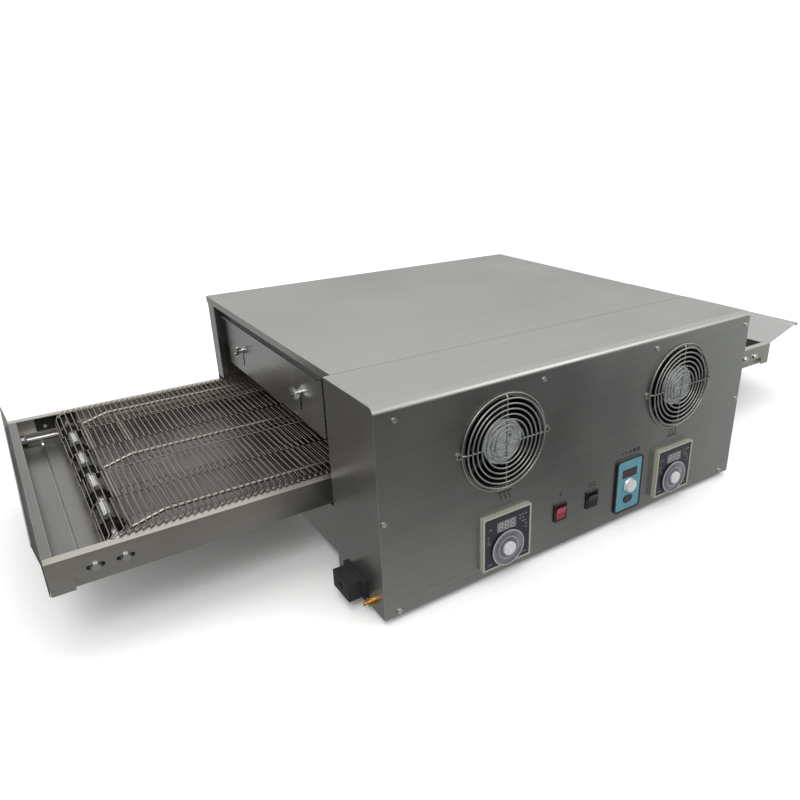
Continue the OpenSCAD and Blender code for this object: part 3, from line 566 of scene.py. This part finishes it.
def build_belt():
    """A belt of bent wires: straight rungs in five lanes, cranked where they hook into each other."""
    low, high = panel_box("conveyor_belt")
    radius = (high.z - low.z - BELT_THICK) / 2
    mid_z = (high.z + low.z) / 2
    left_x = low.x + (high.z - low.z) / 2
    right_x = high.x - (high.z - low.z) / 2
    straight = right_x - left_x
    arc = math.pi * radius
    loop = 2 * (straight + arc)
    count = round(loop / BELT_PITCH)
    pitch = loop / count

    def on_loop(s, lift):
        """The (x, z) at distance s along the loop, lift mm outside it."""
        s %= loop
        if s < straight:
            return left_x + s, mid_z + radius + lift
        s -= straight
        if s < arc:
            angle = math.pi / 2 - s / radius
            return right_x + (radius + lift) * math.cos(angle), mid_z + (radius + lift) * math.sin(angle)
        s -= arc
        if s < straight:
            return right_x - s, mid_z - radius - lift
        s -= straight
        angle = -math.pi / 2 - s / radius
        return left_x + (radius + lift) * math.cos(angle), mid_z + (radius + lift) * math.sin(angle)

    lane = (high.y - low.y) / LANES
    crank = pitch * 0.42
    path = [(pitch * 0.55, low.y - LANE_EDGE - 3.5, -0.8), (-pitch * 0.75, low.y - EDGE_REACH, -0.3),
            (-pitch * 0.90, low.y - EDGE_REACH + 0.6, 0.5), (0.0, low.y - LANE_EDGE, 0.0)]
    for i in range(LANES):
        start = crank * (i % 2)
        end_y = low.y + lane * (i + 1)
        if i:
            path.append((start, low.y + lane * i + HOOK, 0.0))
        path.append((start, (low.y + lane * i + end_y) / 2, 0.0))
        if i < LANES - 1:
            after = crank * ((i + 1) % 2)
            push = 1 if after > start else -1
            path.append((start, end_y - HOOK, 0.0))
            path.append((start - push * crank * 0.30, end_y - HOOK * 0.4, 0.6))
            path.append((after + push * crank * 0.30, end_y + HOOK * 0.4, -0.6))
    last = crank * ((LANES - 1) % 2)
    path.append((last, high.y + LANE_EDGE, 0.0))
    path.append((last + pitch * 0.90, high.y + EDGE_REACH - 0.6, 0.5))
    path.append((last + pitch * 0.75, high.y + EDGE_REACH, -0.3))
    path.append((last - pitch * 0.55, high.y + LANE_EDGE + 3.5, -0.8))
    bm = bmesh.new()
    for n in range(count):
        points = []
        for shift, y, lift in path:
            x, z = on_loop(n * pitch + shift, lift)
            points.append((x, y, z))
        tube(bm, points, WIRE_R, 5)
    finish_piece("wire_belt", bm, wire_steel, "oven", ["conveyor_belt"], smooth=True)


build_belt()


# ---------- fans ----------

FAN_Z = 230.0
LABEL_R = 36.5
LABEL_Y = (3.5, 4.05)
LABEL_MARK_Y = (3.35, 3.52)
LEFT_FAN_X = 217.0
RIGHT_FAN_X = 617.0
LABEL_ARCS = (
    (31.5, 1.1, ((20, 84), (96, 160), (200, 262), (278, 340))),
    (25.5, 2.0, ((35, 60), (66, 92), (98, 118), (124, 150), (214, 236), (243, 268), (274, 300))),
    (14.0, 0.9, ((0, 360),)),
)
LABEL_DOTS = ((13, 15, 2.6), (14, 7, 3.0), (-16, -12, 1.6), (4, -20, 1.6), (-4, 20, 1.4))


def build_fan_label(name, x):
    """A foil disc on the fan's hub, with a plain pattern of arcs and dots."""
    bm = bmesh.new()
    slab(bm, [(x + LABEL_R * math.cos(a), FAN_Z + LABEL_R * math.sin(a))
              for a in [math.tau * i / 72 for i in range(72)]], *LABEL_Y)
    finish_piece(f"{name}_label", bm, foil, "oven", bevel=0.2)
    bm = bmesh.new()
    for radius, width, spans in LABEL_ARCS:
        for start, end in spans:
            ring_band(bm, x, FAN_Z, radius - width / 2, radius + width / 2, *LABEL_MARK_Y, start, end)
    for dx, dz, r in LABEL_DOTS:
        ring_band(bm, x + dx, FAN_Z + dz, 0.3, r, *LABEL_MARK_Y, 0, 360, 24)
    for i in range(6):
        angle = math.radians(150 + i * 12)
        stroke(bm, [(x + 17 * math.cos(angle), FAN_Z + 17 * math.sin(angle)),
                    (x + 21 * math.cos(angle), FAN_Z + 21 * math.sin(angle))], 1.2, *LABEL_MARK_Y)
    finish_piece(f"{name}_label_marks", bm, foil_print, "oven")


build_fan_label("left_fan", LEFT_FAN_X)
build_fan_label("right_fan", RIGHT_FAN_X)


# ---------- temperature controllers ----------

CONTROL_Z = 66.0
METER_Z = CONTROL_Z - 1.5
DIAL_Z = METER_Z - 16.0
METER_SHIFT = 3.0
FACE_Y = panel_box("upper_heat_controller")[0].y + 1.2
FACE_SIDE = 89.4
DIAL_R = 31.8
DIAL_HUB_R = 8.0
KNOB_R = 11.75
KNOB_LENGTH = 5.0
LAMP_PLACES = ((25, 33), (31, 33), (25, 27), (31, 27), (37, 33), (38, 14), (-38, 13), (-38, 6))
LABEL_LINES = ((-34, 26, 6), (-36, 1, 8), (33, 20.5, 9), (37, 8, 5), (-35, -38, 8), (35, -38, 9))


def build_temperature_face(name, x, dial_body):
    """One controller's black face, display and printed marks, and its dial's scale, disc and knob, with a
    painted highlight ring along the dial's rim.
    """
    bm = bmesh.new()
    outline = round_box(x, METER_Z, FACE_SIDE, FACE_SIDE, 1.4)
    slab(bm, outline, FACE_Y - 0.7, FACE_Y)
    finish_piece(f"{name}_face", bm, face_black, "oven", bevel=0.08)
    bm = bmesh.new()
    slab(bm, round_box(x - 2, METER_Z + 25, 38, 18.5, 1.0), FACE_Y - 0.95, FACE_Y - 0.6)
    finish_piece(f"{name}_window", bm, window_grey, "oven", bevel=0.12)
    bm = bmesh.new()
    for i in range(3):
        digit(bm, x - 13.5 + i * 11.5, METER_Z + 25, 6.6, 12.6, "abcdefg", FACE_Y - 1.1, FACE_Y - 0.9)
    finish_piece(f"{name}_digits", bm, segment_grey, "oven")
    bm = bmesh.new()
    y0, y1 = FACE_Y - 0.85, FACE_Y - 0.65
    for dx, dz in LAMP_PLACES:
        ring_band(bm, x + dx, METER_Z + dz, 0.9, 1.5, y0, y1, 0, 360, 16)
    for dx, dz, w in LABEL_LINES:
        stroke(bm, [(x + dx - w / 2, METER_Z + dz), (x + dx + w / 2, METER_Z + dz)], 0.9, y0, y1)
    finish_piece(f"{name}_marks", bm, pale_print, "oven")
    back_y = FACE_Y - 0.3
    tip = panel_box(f"{name}_dial")[0].y
    ring_y = tip + KNOB_LENGTH
    bm = bmesh.new()
    for i in range(31):
        angle = math.radians(-60 + i * 10)
        inner = 23.5 if i % 5 == 0 else 26.0
        c, s = math.cos(angle), math.sin(angle)
        stroke(bm, [(x + inner * c, DIAL_Z + inner * s), (x + 28.4 * c, DIAL_Z + 28.4 * s)],
               0.8 if i % 5 == 0 else 0.5, ring_y - 0.18, ring_y + 0.02)
    # Painted highlight: a lighter ring along the dial's rim.
    ring_band(bm, x, DIAL_Z, 29.2, 31.5, ring_y - 0.5, ring_y + 0.02)
    ring_band(bm, x, DIAL_Z, 18.6, 20.0, ring_y - 0.18, ring_y + 0.02)
    finish_piece(f"{name}_dial_scale", bm, dial_print_and_rim_highlight, dial_body)
    bm = bmesh.new()
    profile = [(DIAL_HUB_R, back_y), (DIAL_HUB_R, ring_y + 1.4), (31.3, ring_y + 1.4), (DIAL_R, ring_y + 0.9),
               (DIAL_R, ring_y + 0.5), (31.3, ring_y), (0.2, ring_y)]
    turned(bm, x, DIAL_Z, profile, 90)
    finish_piece(f"{name}_dial_disc", bm, dial_grey, dial_body,
                 replaces=[f"{name}_dial"], smooth=True)
    bm = bmesh.new()
    profile = [(11.52, ring_y), (KNOB_R, ring_y - 0.4), (KNOB_R, tip + 1.2), (11.3, tip + 0.4),
               (10.6, tip + 0.02), (0.2, tip + 0.02)]
    turned(bm, x, DIAL_Z, profile, 60, 0.22)
    finish_piece(f"{name}_dial_knob", bm, knob_silver, dial_body, smooth=True)


FLUTED_FROM = 11.6


def turned(bm, x, z, profile, steps, flutes=0.0):
    """A turned shape on an axis along y, from (radius, y) points. flutes: depth of the grip's grooves."""
    loops = []
    for radius, y in profile:
        loop = []
        for i in range(steps):
            angle = math.tau * i / steps
            r = radius - (flutes if i % 2 and radius > FLUTED_FROM else 0.0)
            loop.append(bm.verts.new((x + r * math.cos(angle), y, z + r * math.sin(angle))))
        loops.append(loop)
    for a, b in zip(loops, loops[1:]):
        for i in range(steps):
            j = (i + 1) % steps
            bm.faces.new((a[i], a[j], b[j], b[i]))
    bm.faces.new(loops[0])
    bm.faces.new(loops[-1])


build_temperature_face("upper_heat", LEFT_FAN_X + METER_SHIFT, "upper_dial")
build_temperature_face("lower_heat", RIGHT_FAN_X + METER_SHIFT, "lower_dial")


# ---------- belt speed controller ----------

SPEED_X = 504.0
SPEED_FACE_Y = -2.7
SPEED_TICK = (14.6, 16.6)
SPEED_LINES = ((-14, 42, 22), (14, 43, 18), (-18, 35.5, 8), (17, 36, 10), (20, -20, 8), (-20, -22, 9),
               (0, -44, 14))


def build_speed_face():
    """The belt speed controller's blue face, window, digits and printed marks, and its knob's grip."""
    y0, y1 = SPEED_FACE_Y - 0.25, SPEED_FACE_Y
    bm = bmesh.new()
    slab(bm, round_box(SPEED_X, CONTROL_Z, 59.4, 99.4, 4.6), y0, y1)
    finish_piece("speed_face", bm, face_blue, "oven", bevel=0.08)
    bm = bmesh.new()
    slab(bm, round_box(SPEED_X, CONTROL_Z + 24, 37, 17, 0.8), y0 - 0.3, y0 + 0.05)
    finish_piece("speed_window", bm, window_dark, "oven", bevel=0.1)
    bm = bmesh.new()
    for i in range(4):
        digit(bm, SPEED_X - 12.6 + i * 8.4, CONTROL_Z + 24, 4.6, 9.5, "abcdefg", y0 - 0.42, y0 - 0.28)
    finish_piece("speed_digits", bm, segment_dark, "oven")
    bm = bmesh.new()
    marks = (y0 - 0.12, y0 + 0.02)
    for i in range(11):
        angle = math.radians(225 - i * 27)
        c, s = math.cos(angle), math.sin(angle)
        tick = [(SPEED_X + r * c, CONTROL_Z + r * s) for r in SPEED_TICK]
        stroke(bm, tick, 0.7, *marks)
    for dx, dz, w in SPEED_LINES:
        line = [(SPEED_X + dx - w / 2, CONTROL_Z + dz), (SPEED_X + dx + w / 2, CONTROL_Z + dz)]
        stroke(bm, line, 1.0, *marks)
    finish_piece("speed_marks", bm, blue_print, "oven")
    bm = bmesh.new()
    tip = panel_box("speed_knob")[0].y
    profile = [(12.02, -3.3), (13.6, -3.4), (13.6, -4.2), (12.3, -4.8), (12.2, tip + 1.6), (11.5, tip + 0.5),
               (10.3, tip + 0.02), (8.6, tip + 0.02), (8.2, tip + 0.35), (0.2, tip + 0.35)]
    turned(bm, SPEED_X, CONTROL_Z, profile, 60, 0.25)
    finish_piece("speed_knob_grip", bm, knob_silver, "speed_dial", smooth=True)


build_speed_face()


# ---------- plain marks printed on the front sheet ----------

# Each heat symbol's x, and the heights of its bar and of its wavy lines.
HEAT_MARKS = ((220.0, 145.0, 137.0), (614.0, 133.0, 141.0))
POWER_MARK = [(342.5, 106), (335.5, 98.2), (339.0, 98.2), (336.0, 91.5), (343.0, 100.2), (339.6, 100.2)]


def build_panel_marks():
    """Heat, power and speed symbols, printed in black."""
    y0, y1 = -0.12, 0.02
    bm = bmesh.new()
    for x, bar_z, wave_z in HEAT_MARKS:
        stroke(bm, [(x - 13, bar_z), (x + 13, bar_z)], 2.6, y0, y1)
        for i in (-1, 0, 1):
            points = []
            for k in range(9):
                t = k / 8
                points.append((x + i * 8.5 + 1.8 * math.sin(t * math.tau), wave_z + (t - 0.5) * 12))
            stroke(bm, points, 2.2, y0, y1)
    slab(bm, POWER_MARK, y0, y1)
    for dz in (0, 5):
        stroke(bm, [(404, 92 + dz), (422, 92 + dz)], 2.0, y0, y1)
    for i in range(5):
        ring_band(bm, 484 + i * 10, 131, 0.2, 1.9 + i * 0.65, y0, y1, 0, 360, 20)
    finish_piece("panel_marks", bm, ink, "oven")


build_panel_marks()


# ---------- the joint between the control box and the top cover ----------


def build_cover_joint():
    """A thin dark line where the two covers meet, 0.04 mm proud: painted shade in the seam."""
    cover_high = panel_box("front_cover")[1]
    body_low = panel_box("top_cover")[0]
    bm = bmesh.new()
    y, z = body_low.y - 0.1, cover_high.z
    section = [(-0.75, 0.01), (-0.4, 0.03), (0.0, 0.04), (0.4, 0.03), (0.75, 0.01)]
    rows = []
    for i in range(41):
        x = body_low.x + 1 + (cover_high.x - body_low.x - 2) * i / 40
        rows.append([bm.verts.new((x, y + dy, z + dz)) for dy, dz in section])
    for a, b in zip(rows, rows[1:]):
        for k in range(len(section) - 1):
            bm.faces.new((a[k], a[k + 1], b[k + 1], b[k]))
    finish_piece("cover_joint", bm, seam_shade, "oven", smooth=True)


build_cover_joint()
